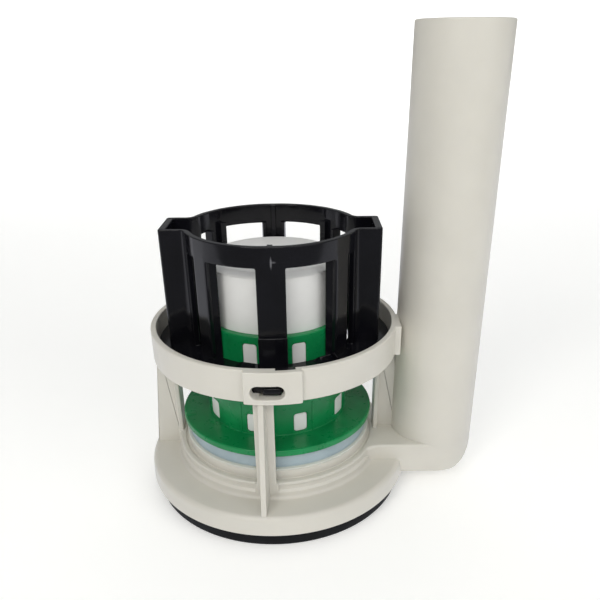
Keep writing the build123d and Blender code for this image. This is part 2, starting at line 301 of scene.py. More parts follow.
def thickened(points, faces, depth, edge, steps=3):
    # Sheet with a wall of the given depth on its inner side and rounded rims. At a rim
    # point the rings are P + out * edge * sin t - n * edge * (1 - cos t), and the same
    # again at the inner face.
    def unit(vectors):
        return vectors / np.maximum(np.linalg.norm(vectors, axis=1), 1e-12)[:, None]

    # triangles are written as quads that name their first corner twice
    corners = np.array([[f[k % len(f)] for k in range(4)] for f in faces])
    a, b, c = (points[corners[:, k]] for k in range(3))
    faceNormal = np.cross(b - a, c - a)
    normal, out = np.zeros_like(points), np.zeros_like(points)
    for k in range(4):
        np.add.at(normal, corners[:, k], faceNormal)
    normal = unit(normal)
    # a side that only one face has lies on a rim
    sides = np.stack([corners, np.roll(corners, -1, axis=1)], -1).reshape(-1, 2)
    sides = sides[sides[:, 0] != sides[:, 1]]
    key = sides.min(1) * len(points) + sides.max(1)
    _, index, count = np.unique(key, return_index=True, return_counts=True)
    rim = sides[index[count == 1]]
    across = unit(np.cross(points[rim[:, 1]] - points[rim[:, 0]], normal[rim[:, 0]]))
    for k in (0, 1):
        np.add.at(out, rim[:, k], across)
    out = unit(out)
    depth = np.broadcast_to(np.asarray(depth, float), (len(points),))[:, None]
    total, rimPoints = len(points), np.unique(rim)
    many = len(rimPoints)
    p, n, o, d = points[rimPoints], normal[rimPoints], out[rimPoints], depth[rimPoints]
    t = np.radians(np.linspace(0, 90, steps + 1))[1:]
    rings = [p + o * edge * math.sin(x) - n * edge * (1 - math.cos(x)) for x in t]
    rings += [p + o * edge * math.sin(x) - n * (d - edge * (1 - math.cos(x))) for x in t[::-1]]
    allPoints = np.concatenate([points, points - normal * depth] + rings)
    # quads from the outer rim through the rings to the inner rim
    place = np.zeros(total, int)
    place[rimPoints] = np.arange(many)
    levels = [rim] + [2 * total + k * many + place[rim] for k in range(len(rings))] + [rim + total]
    levels = np.stack(levels, 1)
    here, on = levels[:, :-1], levels[:, 1:]
    wall = np.stack([here[..., 1], here[..., 0], on[..., 0], on[..., 1]], -1).reshape(-1, 4)
    return allPoints, faces + [[i + total for i in f][::-1] for f in faces] + wall.tolist()


def addObject(name, data):
    thing = bpy.data.objects.new(name, data)
    bpy.context.scene.collection.objects.link(thing)
    return thing


def makePiece(name, shapes, material, body, replaced):
    # one object of the scene from its closed shapes, smooth with its corners kept
    points, faces = joined(shapes)
    mesh = bpy.data.meshes.new(name)
    mesh.from_pydata((points * mm).tolist(), [], faces)
    mesh.validate()
    mesh.update()
    piece = addObject(name, mesh)
    mesh.materials.append(material)
    mesh.shade_smooth()
    mesh.set_sharp_from_angle(angle=math.radians(sharpCorner))
    shade = piece.modifiers.new("evenShade", "WEIGHTED_NORMAL")
    shade.keep_sharp = True
    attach(piece, body)
    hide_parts(replaced)
    print("piece", name, len(mesh.polygons), "faces")
    return piece


# Materials

def linear(code):
    # sRGB hex colour to linear: v / 12.92 below 0.04045, ((v + 0.055) / 1.055) ** 2.4 above
    values = [int(code[i:i + 2], 16) / 255 for i in (1, 3, 5)]
    values = [v / 12.92 if v <= 0.04045 else ((v + 0.055) / 1.055) ** 2.4 for v in values]
    return (*values, 1.0)


def addNode(tree, kind, settings=(), inputs=(), links=()):
    # one node with its settings, its input values and its incoming links
    node = tree.nodes.new(kind)
    for key, value in dict(settings).items():
        setattr(node, key, value)
    for key, value in dict(inputs).items():
        node.inputs[key].default_value = value
    for key, socket in dict(links).items():
        tree.links.new(socket, node.inputs[key])
    return node


# What all the mouldings share. Ranges are of a noise's value, sizes and depths millimetres.
mouldedLook = {
    "cloudRange": (0.35, 0.65), "speckRange": (0.72, 0.76), "patchRange": (0.3, 0.7),
    "tornSize": 0.4, "tornRange": (0.3, 0.7), "torn": 0.25, "paleMarkRange": (0.45, 1.05),
    "grainDepth": 0.05, "sinkDepth": 1.0,
}


def mouldedSurface(name, look):
    # Colour runs from dark to light with wide cloudy flow, then each tint is mixed in by its
    # mask: specks, a paler rim and pale grey marks. Roughness varies in patches by glossSpread.
    # The bump is tool texture, then shallow sink marks. A tool's real texture is finer than
    # a pixel, so grainSize is as coarse as it takes to show.
    m = mouldedLook
    material = bpy.data.materials.new(name)
    material.use_nodes = True
    tree = material.node_tree
    tree.nodes.clear()
    where = addNode(tree, "ShaderNodeTexCoord").outputs["Object"]
    layers = {"cloud": (look["cloudSize"], 4.0, 0.5), "speck": (look["speckSize"], 2.0, 0.7),
              "patch": (look["cloudSize"] / 3, 5.0, 0.6), "grain": (look["grainSize"], 3.0, 0.6),
              "sink": (look["sinkSize"], 1.0, 0.5)}
    if "paleMarks" in look:
        layers["torn"] = (m["tornSize"], 3.0, 0.7)
    noise = {}
    for key, (size, detail, rough) in layers.items():
        inputs = {"Scale": 1 / (size * mm), "Detail": detail, "Roughness": rough}
        noise[key] = addNode(tree, "ShaderNodeTexNoise", (), inputs, {"Vector": where}).outputs["Fac"]
    ramp = addNode(tree, "ShaderNodeValToRGB", links={"Fac": noise["cloud"]})
    for stop, place, code in zip(ramp.color_ramp.elements, m["cloudRange"], (look["dark"], look["light"])):
        stop.position = place
        stop.color = linear(code)
    colour = ramp.outputs["Color"]

    # a tint: the value that masks it, that value's range, its strength at both ends, colour
    mapSockets = ("From Min", "From Max", "To Min", "To Max")
    tints = [(noise["speck"], (*m["speckRange"], 0.0, look["speckStrength"]), look["speck"])]
    if "rim" in look:
        # distance from the axis: length of (x, y, 0)
        flat = addNode(tree, "ShaderNodeVectorMath", {"operation": "MULTIPLY"}, {1: (1, 1, 0)}, {0: where})
        radius = addNode(tree, "ShaderNodeVectorMath", {"operation": "LENGTH"}, (), {0: flat.outputs[0]})
        start, stop, code = look["rim"]
        tints.append((radius.outputs["Value"], (start * mm, stop * mm, 0.0, 1.0), code))
    # small pale grey marks painted on the band, each round its place with a ragged edge
    for place, size, strength in look.get("paleMarks", ()):
        # length of (p - place) / size, its edge torn by fine noise
        away = where
        for operation, values in (("SUBTRACT", place), ("DIVIDE", size)):
            away = addNode(tree, "ShaderNodeVectorMath", {"operation": operation},
                           {1: [v * mm for v in values]}, {0: away}).outputs[0]
        length = addNode(tree, "ShaderNodeVectorMath", {"operation": "LENGTH"}, (), {0: away})
        ranges = (*m["tornRange"], -m["torn"], m["torn"])
        torn = addNode(tree, "ShaderNodeMapRange", (), dict(zip(mapSockets, ranges)),
                       {"Value": noise["torn"]})
        ragged = addNode(tree, "ShaderNodeMath", {"operation": "ADD"}, (),
                         {0: length.outputs["Value"], 1: torn.outputs["Result"]})
        tints.append((ragged.outputs[0], (*m["paleMarkRange"], strength, 0.0), look["paleMarkColour"]))
    for value, ranges, code in tints:
        amount = addNode(tree, "ShaderNodeMapRange", (), dict(zip(mapSockets, ranges)), {"Value": value})
        colour = addNode(tree, "ShaderNodeMix", {"data_type": "RGBA"}, {7: linear(code)},
                         {0: amount.outputs["Result"], 6: colour}).outputs[2]

    ends = (look["roughness"] - look["glossSpread"], look["roughness"] + look["glossSpread"])
    gloss = addNode(tree, "ShaderNodeMapRange", (), dict(zip(mapSockets, (*m["patchRange"], *ends))),
                    {"Value": noise["patch"]})
    skin = {}
    for key in ("grain", "sink"):
        bump = addNode(tree, "ShaderNodeBump", (),
                       {"Strength": look[key + "Bump"], "Distance": m[key + "Depth"] * mm},
                       {"Height": noise[key], **skin})
        skin = {"Normal": bump.outputs["Normal"]}
    shader = addNode(tree, "ShaderNodeBsdfPrincipled", (),
                     {"IOR": look["ior"], "Metallic": 0.0, **look.get("extra", {})},
                     {"Base Color": colour, "Roughness": gloss.outputs["Result"], **skin})
    addNode(tree, "ShaderNodeOutputMaterial", links={"Surface": shader.outputs["BSDF"]})
    return material


# ABS, ivory and moulded in a satin tool: soft wide highlights and slightly warm thin edges
mouldedCreamAbs = mouldedSurface("mouldedCreamAbs", {
    "dark": "#d0cdc4", "light": "#d4d1c8", "cloudSize": 18, "speck": "#8c8676", "speckSize": 0.9,
    "speckStrength": 0.05, "roughness": 0.38, "glossSpread": 0.05, "grainSize": 0.35, "grainBump": 0.12,
    "sinkSize": 14, "sinkBump": 0.05, "ior": 1.54,
    "extra": {"Subsurface Weight": 0.06, "Subsurface Radius": (0.9 * mm, 0.75 * mm, 0.5 * mm),
              "Subsurface Scale": 1.0},
})

# ABS, black and moulded in a polished tool: near-mirror streaks on a deep black, that waver
# over sink marks, and two short pale grey marks on the band, as (place, size, strength)
mouldedBlackAbs = mouldedSurface("mouldedBlackAbs", {
    "dark": "#0d0d11", "light": "#121217", "cloudSize": 16, "speck": "#45454c", "speckSize": 0.7,
    "speckStrength": 0.12, "roughness": 0.15, "glossSpread": 0.04, "grainSize": 0.3, "grainBump": 0.06,
    "sinkSize": 11, "sinkBump": 0.08, "ior": 1.46, "paleMarkColour": "#77777c",
    "paleMarks": (((1.15, -33.83, 107.1), (0.42, 2.0, 2.3), 0.65),
               ((1.9, -33.78, 107.3), (1.1, 2.0, 0.42), 0.4)),
    "extra": {"Specular IOR Level": 0.35},
})

# Polypropylene, green and moulded: a waxy satin whose light goes a little way in, so that
# its shaded side stays green
mouldedGreenPolypropylene = mouldedSurface("mouldedGreenPolypropylene", {
    "dark": "#0a7a43", "light": "#10894d", "cloudSize": 12, "speck": "#0a5c33", "speckSize": 0.7,
    "speckStrength": 0.04, "roughness": 0.3, "glossSpread": 0.05, "grainSize": 0.4, "grainBump": 0.1,
    "sinkSize": 9, "sinkBump": 0.06, "ior": 1.49,
    "extra": {"Subsurface Weight": 0.12, "Subsurface Radius": (0.3 * mm, 0.9 * mm, 0.45 * mm),
              "Subsurface Scale": 1.0, "Specular IOR Level": 0.35},
})

# Polypropylene, white and moulded in a fine matt tool: even soft shading, no sharp highlight
mouldedWhitePolypropylene = mouldedSurface("mouldedWhitePolypropylene", {
    "dark": "#e6e6e4", "light": "#eeeeec", "cloudSize": 15, "speck": "#a9a9a5", "speckSize": 0.8,
    "speckStrength": 0.06, "roughness": 0.42, "glossSpread": 0.04, "grainSize": 0.4, "grainBump": 0.1,
    "sinkSize": 10, "sinkBump": 0.05, "ior": 1.49,
})

# Silicone, moulded and milky: light spreads wide inside it, so it looks soft and blue-grey.
# Between the rim's two radii it turns paler, as the seat's cream shows through its thin lip.
mouldedGreySilicone = mouldedSurface("mouldedGreySilicone", {
    "dark": "#9fb0b8", "light": "#abbbc2", "cloudSize": 8, "speck": "#7c8b92", "speckSize": 0.8,
    "speckStrength": 0.08, "roughness": 0.36, "glossSpread": 0.05, "grainSize": 0.5, "grainBump": 0.1,
    "sinkSize": 7, "sinkBump": 0.06, "ior": 1.41, "rim": (38.1, 38.6, "#cfd0c8"),
    "extra": {"Subsurface Weight": 0.5, "Subsurface Radius": (1.6 * mm, 1.9 * mm, 2.2 * mm),
              "Subsurface Scale": 1.0},
})

# Rubber, black and moulded: dull and dry with a coarse skin and only a faint sheen
mouldedBlackRubber = mouldedSurface("mouldedBlackRubber", {
    "dark": "#0a0b0c", "light": "#101213", "cloudSize": 9, "speck": "#3a3e40", "speckSize": 0.6,
    "speckStrength": 0.25, "roughness": 0.6, "glossSpread": 0.06, "grainSize": 0.6, "grainBump": 0.3,
    "sinkSize": 8, "sinkBump": 0.08, "ior": 1.5,
    "extra": {"Specular IOR Level": 0.15},
})
print("materials made")


# Gasket, a moulded ring with rounded edges

gasketLook = {"bore": 34.5, "boreEdge": 0.5, "edge": 1.2}


def baseGasket():
    # rectangle of (radius, z) with rounded corners, turned about Z
    g = gasketLook
    outline = roundedOutline([
        (g["bore"], 0, g["boreEdge"]), (gasketRadius, 0, g["edge"]),
        (gasketRadius, gasketTop, g["edge"]), (g["bore"], gasketTop, g["boreEdge"])])
    return [lathe(outline)]


makePiece("baseGasket", baseGasket(), mouldedBlackRubber, "fixed_valve", "base_gasket")


# Valve body: skirt and seat tower, posts, lock ring, duct and overflow tube

bodyLook = {
    # skirt and seat tower
    "bore": 34.5, "skirtTop": 14.8, "shoulder": 2.2, "brow": 0.4, "rebate": 2.2, "skirtLip": 1.34,
    "towerTop": 21.8, "tower": 42.3, "foot": 43.2, "footTop": 17.6, "step": 0.9, "rim": 42.7,
    "rimInner": 40.4, "rimHeight": 1.6, "groove": 0.5, "seatLip": 39.3, "lipWidth": 2.4, "boreDrop": 0.5,
    # lock ring
    "ring": 49.83, "ringWall": 2.24, "ringLow": 61.66, "ringHigh": 74.17, "shelfTop": 64.0, "edge": 0.45,
    # lock pads: angles in degrees, and how far a pad passes the ring on each side
    "padMiddle": -88.6, "padSpan": 23.5, "padOverlap": 1.2, "padDepth": 1.67, "padInset": 0.03,
    "padDrop": 0.12, "padRise": 0.04, "slotMiddle": -90.8, "slotLength": 12.3, "slotHeight": 5.2,
    "slotZ": 66.2, "slotSides": (1.4, 1.1), "slotRows": 0.7, "notchMiddle": -83.3, "notchWidth": 7.6,
    "notchRadius": 49.2, "notchLow": 70.4, "foldSpan": 0.06, "foldRise": 0.05,
    # posts and their fins
    "posts": (0, 180, -94, 86), "postInner": 41.8, "postOuter": 43.8, "postWidth": 7.7, "postFlare": 0.8,
    "fin": 2.2, "finFoot": 54.2, "finRoot": 1.2, "finSink": 2.2, "finRise": 0.8, "finStep": 0.1,
    # duct and overflow tube
    "tubeX": 67.74, "tube": 16.92, "tubeFoot": 17.55, "tubeSink": 3.0, "tubeBore": 14.9, "boreFoot": 14.5,
    "boreStraight": 20.0, "floorTop": 3.0, "floorLow": 1.2, "floorEdge": 6.0, "elbowRound": 13.0,
    "ductFillet": 8.0, "ductRoot": 1.4, "ductEdge": 1.0,
    # lug between the ring and the tube
    "lugFront": -12.6, "lugBack": 1.0, "lugTuck": 0.2, "lugFace": 50.59,
}


def skirtAndTower():
    # outline of (radius, z), from the bore out under the skirt, up its side and over the
    # tower to the seat's raised edge, turned about Z
    b = bodyLook
    lipLow, lipFoot = gasketTop - b["skirtLip"], skirtRadius - b["rebate"]
    rimLow = b["towerTop"] - b["rimHeight"]
    grooveLow = b["towerTop"] - b["groove"]
    seatHigh = seatTop - hair
    outline = roundedOutline([
        (b["bore"], gasketTop, 0.3), (lipFoot, gasketTop, 0.2), (lipFoot, lipLow, 0.4),
        (skirtRadius, lipLow, 0.7), (skirtRadius - b["brow"], b["skirtTop"], b["shoulder"]),
        (b["foot"], b["skirtTop"], 1.5), (b["foot"], b["footTop"], 0.4),
        (b["tower"], b["footTop"] + b["step"], 0.3), (b["tower"], rimLow, 0.2), (b["rim"], rimLow, 0.5),
        (b["rim"], b["towerTop"], 0.8), (b["rimInner"], b["towerTop"], 0.7),
        (b["rimInner"], grooveLow, 0.15), (b["seatLip"], grooveLow, 0.25),
        (b["seatLip"], seatHigh, 0.5), (b["seatLip"] - b["lipWidth"], seatHigh, 0.8),
        (b["bore"], b["towerTop"] - b["boreDrop"], 0.8)], steps=7)
    return lathe(outline)


def ringStretch():
    # outline of (radius, z) with the shelf that the cage sits on, turned about Z over the two
    # stretches between the pads
    b = bodyLook
    inner = b["ring"] - b["ringWall"]
    outline = roundedOutline([
        (b["postInner"], b["ringLow"], 0.4), (b["ring"], b["ringLow"], b["edge"]),
        (b["ring"], b["ringHigh"], b["edge"] + 0.15), (inner, b["ringHigh"], b["edge"]),
        (inner, b["shelfTop"], 0.4), (b["postInner"], b["shelfTop"], 0.4)])
    half = b["padSpan"] / 2 - b["padOverlap"]
    starts = [b["padMiddle"] + half + turn for turn in (0, 180)]
    return [lathe(outline, turns=110, start=start, end=start + 180 - 2 * half) for start in starts]


def lockPad(turn):
    # Sheet over (angle, z), bent to (r cos t, r sin t, z) and given its wall. The obround slot
    # is its hole, and the wall is thinner in the notch, whose sides take foldSpan degrees.
    b = bodyLook
    edge, outer = b["edge"], b["ring"] + b["padDepth"]
    inner = b["ring"] - b["ringWall"] - b["padInset"]
    lean = math.degrees(edge / outer)
    start = b["padMiddle"] - b["padSpan"] / 2 + lean
    end = b["padMiddle"] + b["padSpan"] / 2 - lean
    slotHalf, notchHalf = (math.degrees(b[k] / 2 / outer) for k in ("slotLength", "notchWidth"))
    border = (b["slotMiddle"] - slotHalf - b["slotSides"][0], b["slotMiddle"] + slotHalf + b["slotSides"][1])
    notch = (b["notchMiddle"] - notchHalf, b["notchMiddle"] + notchHalf)
    columns = np.concatenate([
        np.linspace(start, border[0], 4), np.linspace(border[0], notch[0], 22)[1:],
        np.linspace(notch[0] + b["foldSpan"], border[1], 8), np.linspace(border[1], notch[1], 7)[1:],
        np.linspace(notch[1] + b["foldSpan"], end, 4)])
    rowHalf = b["slotHeight"] / 2 + b["slotRows"]
    slotRows = (b["slotZ"] - rowHalf, b["slotZ"] + rowHalf)
    rows = np.concatenate([
        [b["ringLow"] - b["padDrop"] + edge], np.linspace(*slotRows, 13),
        [b["notchLow"], b["notchLow"] + b["foldRise"], b["ringHigh"] + b["padRise"] - edge]])
    hole = {"columns": border, "rows": slotRows, "middle": (b["slotMiddle"], b["slotZ"]),
            "width": b["slotLength"] + 2 * edge, "height": b["slotHeight"] + 2 * edge,
            "round": b["slotHeight"] / 2 + edge - 0.01, "stretch": 1 / (math.radians(1) * outer)}
    uv, faces = sheetWithHoles(columns, rows, [hole])
    t = np.radians(uv[:, 0] + turn)
    points = np.stack([outer * np.cos(t), outer * np.sin(t), uv[:, 1]], 1)
    inNotch = abs(uv[:, 0] - b["foldSpan"] / 2 - b["notchMiddle"]) < notchHalf
    inNotch &= uv[:, 1] > b["notchLow"] + b["foldRise"] / 2
    return thickened(points, faces, np.where(inNotch, outer - b["notchRadius"], outer - inner), edge)


def postAt(angle):
    # Upright: a band bent round the float's way, in layers of (r cos t, r sin t, z), and the
    # radial fin outside it. The band's half width grows at its foot by a rounding postFlare.
    b = bodyLook
    top = b["shelfTop"] - hair - b["towerTop"]
    rise = np.concatenate([[b["footTop"] - b["towerTop"]], np.linspace(-0.1, b["postFlare"], 7), [top]])
    span = np.degrees((b["postWidth"] + 2 * roundIn(rise, b["postFlare"])) / b["postOuter"])
    layers = [arcLoop(b["postInner"], b["postOuter"], angle, x, 0.5) for x in span]
    points = np.concatenate([np.insert(plan, 2, b["towerTop"] + h, axis=1) for plan, h in zip(layers, rise)])
    band = (points, cappedFaces(len(rise), len(layers[0])))
    root, low, high = b["postOuter"] - b["finRoot"], b["skirtTop"] - b["finSink"], b["ringLow"] + b["finRise"]
    loop = roundedOutline([
        (root, low, 0.2), (b["finFoot"], low, 0.2), (b["ring"] - b["finStep"], high, 0.2), (root, high, 0.2)])
    return [band, uprightPlate(loop, b["fin"], 0.35, angle)]


def ductAndElbow():
    # Plan outline round the duct and the tube's foot, stacked from the underside to the
    # tower's top, with an arc inside the tower as its other side. Each layer stands back by
    # the rounding ductEdge at both ends, and near the lower far corner x is at most the
    # tube's end less the rounding elbowRound.
    b = bodyLook
    half, r = b["tubeFoot"], b["ductFillet"]
    reach, drop = b["tower"] + r, b["tubeFoot"] + r
    along = math.sqrt(reach ** 2 - drop ** 2)
    lowerFillet = arc((along, -drop), r, math.degrees(math.atan2(drop, -along)), 90, 12)
    side = np.stack([np.linspace(along, b["tubeX"], 8)[1:-1], np.full(6, -half)], 1)
    end = arc((b["tubeX"], 0), half, -90, 90, 60)
    outer = np.concatenate([lowerFillet, side, end, (side * [1, -1])[::-1], (lowerFillet * [1, -1])[::-1]])
    n = len(outer)
    touch = math.degrees(math.atan2(drop, along))
    inner = arc((0, 0), b["tower"] - b["ductRoot"], touch, -touch, n)
    edge, big = b["ductEdge"], b["elbowRound"]
    tall = b["towerTop"] - 2 * hair - gasketTop
    t = np.radians(np.linspace(0, 90, 5))
    rise = np.concatenate([edge * (1 - np.cos(t)), np.linspace(edge, big, 14)[1:], [tall - edge],
                           tall - edge * (1 - np.cos(t[::-1]))])
    rise = np.unique(np.round(rise, 5))
    inset = roundIn(rise, edge) + roundIn(tall - rise, edge)
    run = np.gradient(outer, axis=0)
    normal = np.stack([run[:, 1], -run[:, 0]], 1) / np.linalg.norm(run, axis=1)[:, None]
    plan = outer[None] - normal[None] * inset[:, None, None]
    limit = b["tubeX"] + half - roundIn(rise, big)
    plan[..., 0] = np.minimum(plan[..., 0], limit[:, None])
    plan = np.concatenate([plan, np.broadcast_to(inner, (len(rise), n, 2))], 1)
    height = np.broadcast_to((gasketTop + rise)[:, None, None], plan.shape[:2] + (1,))
    points = np.concatenate([plan, height], 2).reshape(-1, 3)
    # floor and roof: strips between a point of the outer side and the one facing it
    i = np.arange(n - 1)
    strips = np.stack([i, i + 1, 2 * n - 2 - i, 2 * n - 1 - i], 1)
    ends = np.stack([strips[:, ::-1], strips + (len(rise) - 1) * 2 * n], 1).reshape(-1, 4)
    return points, gridFaces(len(rise), 2 * n, wrapColumns=True) + ends.tolist()


def overflowTube():
    # outline of (radius, z) turned about the tube's own axis: drafted wall, rounded mouth and
    # a bore down to the floor of its foot
    b = bodyLook
    boreTop = tubeTop - b["boreStraight"]
    floorTop, floorLow = gasketTop + b["floorTop"], gasketTop + b["floorLow"]
    outline = roundedOutline([
        (b["tubeFoot"] - 0.03, b["towerTop"] - b["tubeSink"], 0.1), (b["tubeFoot"], b["towerTop"], 0),
        (b["tube"], tubeTop, 0.6), (b["tubeBore"], tubeTop, 0.5), (b["tubeBore"], boreTop, 0),
        (b["boreFoot"], b["towerTop"], 0), (b["boreFoot"], floorTop, 2.0), (pole, floorTop, 0),
        (pole, floorLow, 0), (b["boreFoot"] - b["floorEdge"], floorLow, 0.1)])
    return lathe(outline, centre=(b["tubeX"], 0), turns=128)


def tubeLug():
    # block between the ring and the tube, in front of the tube's axis: its inner side follows
    # the ring, (r cos t, r sin t), and its flat face stands on x = lugFace
    b = bodyLook
    start = b["ring"] - b["ringWall"] / 2
    ends = [math.asin(y / start) for y in (b["lugBack"] - b["lugTuck"], b["lugFront"] + b["lugTuck"])]
    t = np.linspace(*ends, 12)
    inner = start * np.stack([np.cos(t), np.sin(t)], 1)
    outer = roundedOutline([
        (inner[-1][0], b["lugFront"], 0), (b["lugFace"], b["lugFront"], 0.6),
        (b["lugFace"], b["lugBack"], 0.4), (inner[0][0], b["lugBack"], 0)], closed=False)
    return prism(np.concatenate([outer, inner]), b["ringLow"] + hair, b["ringHigh"] - hair, b["edge"])


def valveBody():
    shapes = [skirtAndTower(), ductAndElbow(), overflowTube(), tubeLug()] + ringStretch()
    shapes += [lockPad(turn) for turn in (0, 180)]
    for angle in bodyLook["posts"]:
        shapes += postAt(angle)
    return shapes


makePiece("valveBody", valveBody(), mouldedCreamAbs, "fixed_valve", "valve_body")


# Guide cage: one wall with windows and two wings, a flange, channels, ribs and locks

cageLook = {
    # flange and wall; the wall starts wallSink below the flange's top
    "radius": 33.84, "wall": 2.24, "edge": 0.35, "flangeBore": 30.2, "flange": 47.19, "flangeHigh": 67.0,
    "sink": 0.5, "wallSink": 0.8, "band": 7.6, "bandRow": 2.5,
    # windows, which lie between the bars; the outermost start at the angle sliverEnd
    "windowRound": 0.6, "windowSide": 1.2, "windowUnder": 0.38, "windowOver": 2.2, "sliverEnd": -22.5,
    # bars as (middle, span) in degrees, front first, with their flanges and ribs
    "bars": ((-88.5, 17.8), (-138.5, 13.0), (-38.5, 13.0)), "barInner": 29.75, "barEdge": 1.6,
    "barTuck": 0.6, "barLean": 3.1, "barOver": 0.2, "leanOver": 2.6, "rib": 2.2, "ribDepth": 1.7,
    "ribTuck": 0.5, "sideRibTop": 96.0,
    # wings
    "wingReach": 41.88, "wingHalf": 9.88, "wingSide": 1.6, "wingEnd": 2.7, "wingFillet": 3.0,
    "wingCorner": 1.2, "wingBlend": (2.5, 3.0, 1.0),
    # thick foot of the front bar, tab and bump; a width is measured at the radius named At
    "footTuck": 0.3, "stepDepth": 1.0, "stepTop": 79.4, "lockRoot": 44.8, "tabReach": 49.0,
    "tabMiddle": -83.3, "tabWidth": 7.0, "tabAt": 47.6, "tabTop": 73.0, "tabStart": (0.4, 1.0),
    "bumpMiddle": -88.9, "bumpWidth": 6.6, "bumpAt": 49.8, "bumpTop": 66.8, "bumpRise": 0.05,
}


def cagePath():
    # Plan outline of the cage's outer face for half a turn, from the middle of one wing to
    # the middle of the other, through the front: end wall, corner, side wall, concave
    # fillet, circle, and the same back. Gives points and their arc lengths.
    c = cageLook
    r, f, y, far = c["radius"], c["wingFillet"], c["wingHalf"], c["wingReach"]
    centreY = -(y + f)
    centreX = math.sqrt((r + f) ** 2 - centreY ** 2)
    touch = math.degrees(math.atan2(centreY, centreX))
    corner = c["wingCorner"]
    end = np.stack([np.full(6, far), np.linspace(0, -(y - corner), 6)], 1)
    bend = arc((far - corner, -(y - corner)), corner, 0, -90, 6)[1:]
    side = np.stack([np.linspace(far - corner, centreX, 6)[1:], np.full(5, -y)], 1)
    fillet = arc((centreX, centreY), f, 90, 180 + touch, 9)[1:]
    left = [end, bend, side, fillet]
    half = np.concatenate(left)
    circle = arc((0, 0), r, touch, -180 - touch, 73)[1:-1]
    mirrored = half[::-1] * [-1, 1]
    path = np.concatenate([half, circle, mirrored])
    length = np.concatenate([[0], np.cumsum(np.linalg.norm(np.diff(path, axis=0), axis=1))])
    circleStart = length[len(half) - 1]
    return path, length, circleStart, touch


def cageWallHalf():
    # Wall over (arc length, z) with four windows, bent onto the plan outline. On the round
    # stretch a point is (r cos t, r sin t, z) with t = touch - (s - circleStart) / r.
    c = cageLook
    path, length, circleStart, touch = cagePath()
    edge, r = c["edge"], c["radius"]
    stops = [c["sliverEnd"]]
    for middle, span in sorted(c["bars"], reverse=True):
        stops += [middle + span / 2, middle - span / 2]
    stops.append(-180 - c["sliverEnd"])
    stops = [circleStart + math.radians(touch - angle) * r for angle in stops]
    windowTop = cageTop - c["band"]
    rowLow, rowHigh = c["flangeHigh"] - c["windowUnder"], windowTop + c["windowOver"]
    rows = np.concatenate([[c["flangeHigh"] - c["wallSink"]], np.linspace(rowLow, rowHigh, 26),
                           [cageTop - c["bandRow"], cageTop - edge]])
    columns = [length[length <= circleStart], length[length >= length[-1] - circleStart]]
    holes = []
    for a, b in zip(stops[::2], stops[1::2]):
        block = (a - c["windowSide"], b + c["windowSide"])
        columns.append(np.linspace(*block, 13))
        holes.append({"columns": block, "rows": (rowLow, rowHigh),
                      "middle": ((a + b) / 2, (c["flangeHigh"] + windowTop) / 2),
                      "width": b - a + 2 * edge, "height": windowTop - c["flangeHigh"] + 2 * edge,
                      "round": c["windowRound"] + edge})
    uv, faces = sheetWithHoles(np.unique(np.round(np.concatenate(columns), 4)), rows, holes)
    s, z = uv[:, 0], uv[:, 1]
    onCircle = (s > circleStart) & (s < length[-1] - circleStart)
    t = np.radians(touch) - (s - circleStart) / r
    x = np.where(onCircle, r * np.cos(t), np.interp(s, length, path[:, 0]))
    y = np.where(onCircle, r * np.sin(t), np.interp(s, length, path[:, 1]))
    # the outline runs clockwise seen from above, so faces are turned to point outwards
    faces = [f[::-1] for f in faces]
    # thickness: the wing's end, its sides, then the round wall
    endLength = c["wingHalf"] - c["wingCorner"]
    fromEnd, before, after = c["wingBlend"]
    depth = np.interp(np.minimum(s, length[-1] - s),
                      [0, endLength, endLength + fromEnd, circleStart - before, circleStart + after],
                      [c["wingEnd"], c["wingEnd"], c["wingSide"], c["wingSide"], c["wall"]])
    return np.stack([x, y, z], 1), faces, depth


def cageWall():
    # the half wall and the same turned by 180 degrees, welded at the middle of the wings
    points, faces, depth = cageWallHalf()
    points, faces = joined([rotated((points, faces), turn) for turn in (0, 180)])
    points, faces, kept = welded(points, faces, 0.002)
    return thickened(points, faces, np.tile(depth, 2)[kept], cageLook["edge"])


def cageBars(turn):
    # Along both sides of a bar stands a wedge flange, a prism on four rounded corners
    # between the wall and barInner, and down its middle a rib. A side bar's flange towards
    # the front windows leans over them by barLean degrees.
    c = cageLook
    inner, low = c["radius"] - c["wall"], c["flangeHigh"] - c["sink"]
    windowTop = cageTop - c["band"]
    edgeSpan = math.degrees(c["barEdge"] / inner)
    front = c["bars"][0][0]
    shapes = []
    for middle, span in c["bars"]:
        for side in (-1, 1):
            leans = side == np.sign(front - middle)
            lean, over = (c["barLean"], c["leanOver"]) if leans else (0.0, c["barOver"])
            plan = [(c["barInner"], span / 2 + lean), (inner + c["barTuck"], span / 2 + 0.05),
                    (inner + c["barTuck"], span / 2 - edgeSpan), (c["barInner"], span / 2 - edgeSpan)]
            turns = [math.radians(middle + turn + side * a) for _, a in plan]
            corners = [(r * math.cos(t), r * math.sin(t), 0.3) for (r, _), t in zip(plan, turns)]
            loop = roundedOutline(corners if side == 1 else corners[::-1])
            loop = loop[::-1] if loopArea(loop) < 0 else loop
            shapes.append(prism(loop, low, windowTop + over, 0.3))
        rib = arcLoop(inner - c["ribDepth"], inner + c["ribTuck"], middle + turn,
                      math.degrees(c["rib"] / inner), 0.3, 4)
        shapes.append(prism(rib, low, cageTop - hair if middle == front else c["sideRibTop"], 0.3))
    return shapes


